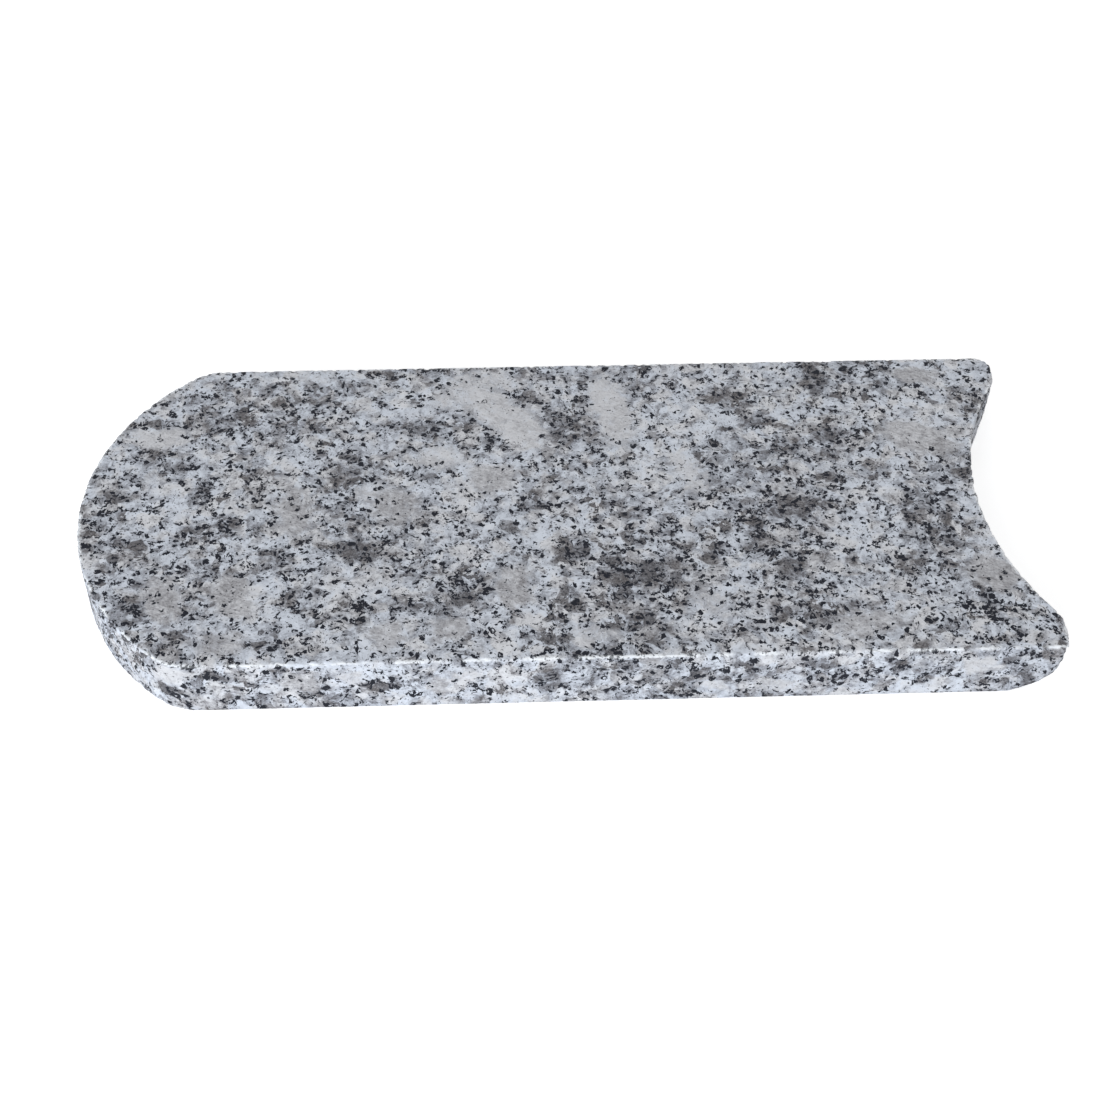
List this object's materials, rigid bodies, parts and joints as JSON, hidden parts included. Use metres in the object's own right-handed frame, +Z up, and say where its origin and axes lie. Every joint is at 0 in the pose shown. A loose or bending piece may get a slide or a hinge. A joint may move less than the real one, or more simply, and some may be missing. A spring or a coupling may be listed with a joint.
{
  "type": "granite kerb stone",
  "caption": "Flat sawn granite edging kerb with a round nose at one end and a hollow at the other, so that stones laid end to end can follow a straight or curved lawn or bed edge.",
  "frame": {"origin": "middle of the bed, the face that the stone lies on", "axes": "+X along the stone from the nose to the hollow, +Z up, out of the face that shows when the stone is laid"},
  "size_m": [0.298, 0.13, 0.02],
  "materials": {
    "granite": "matte"
  },
  "bodies": {
    "root": {"kerb_stone": "granite"}
  },
  "joints": []
}
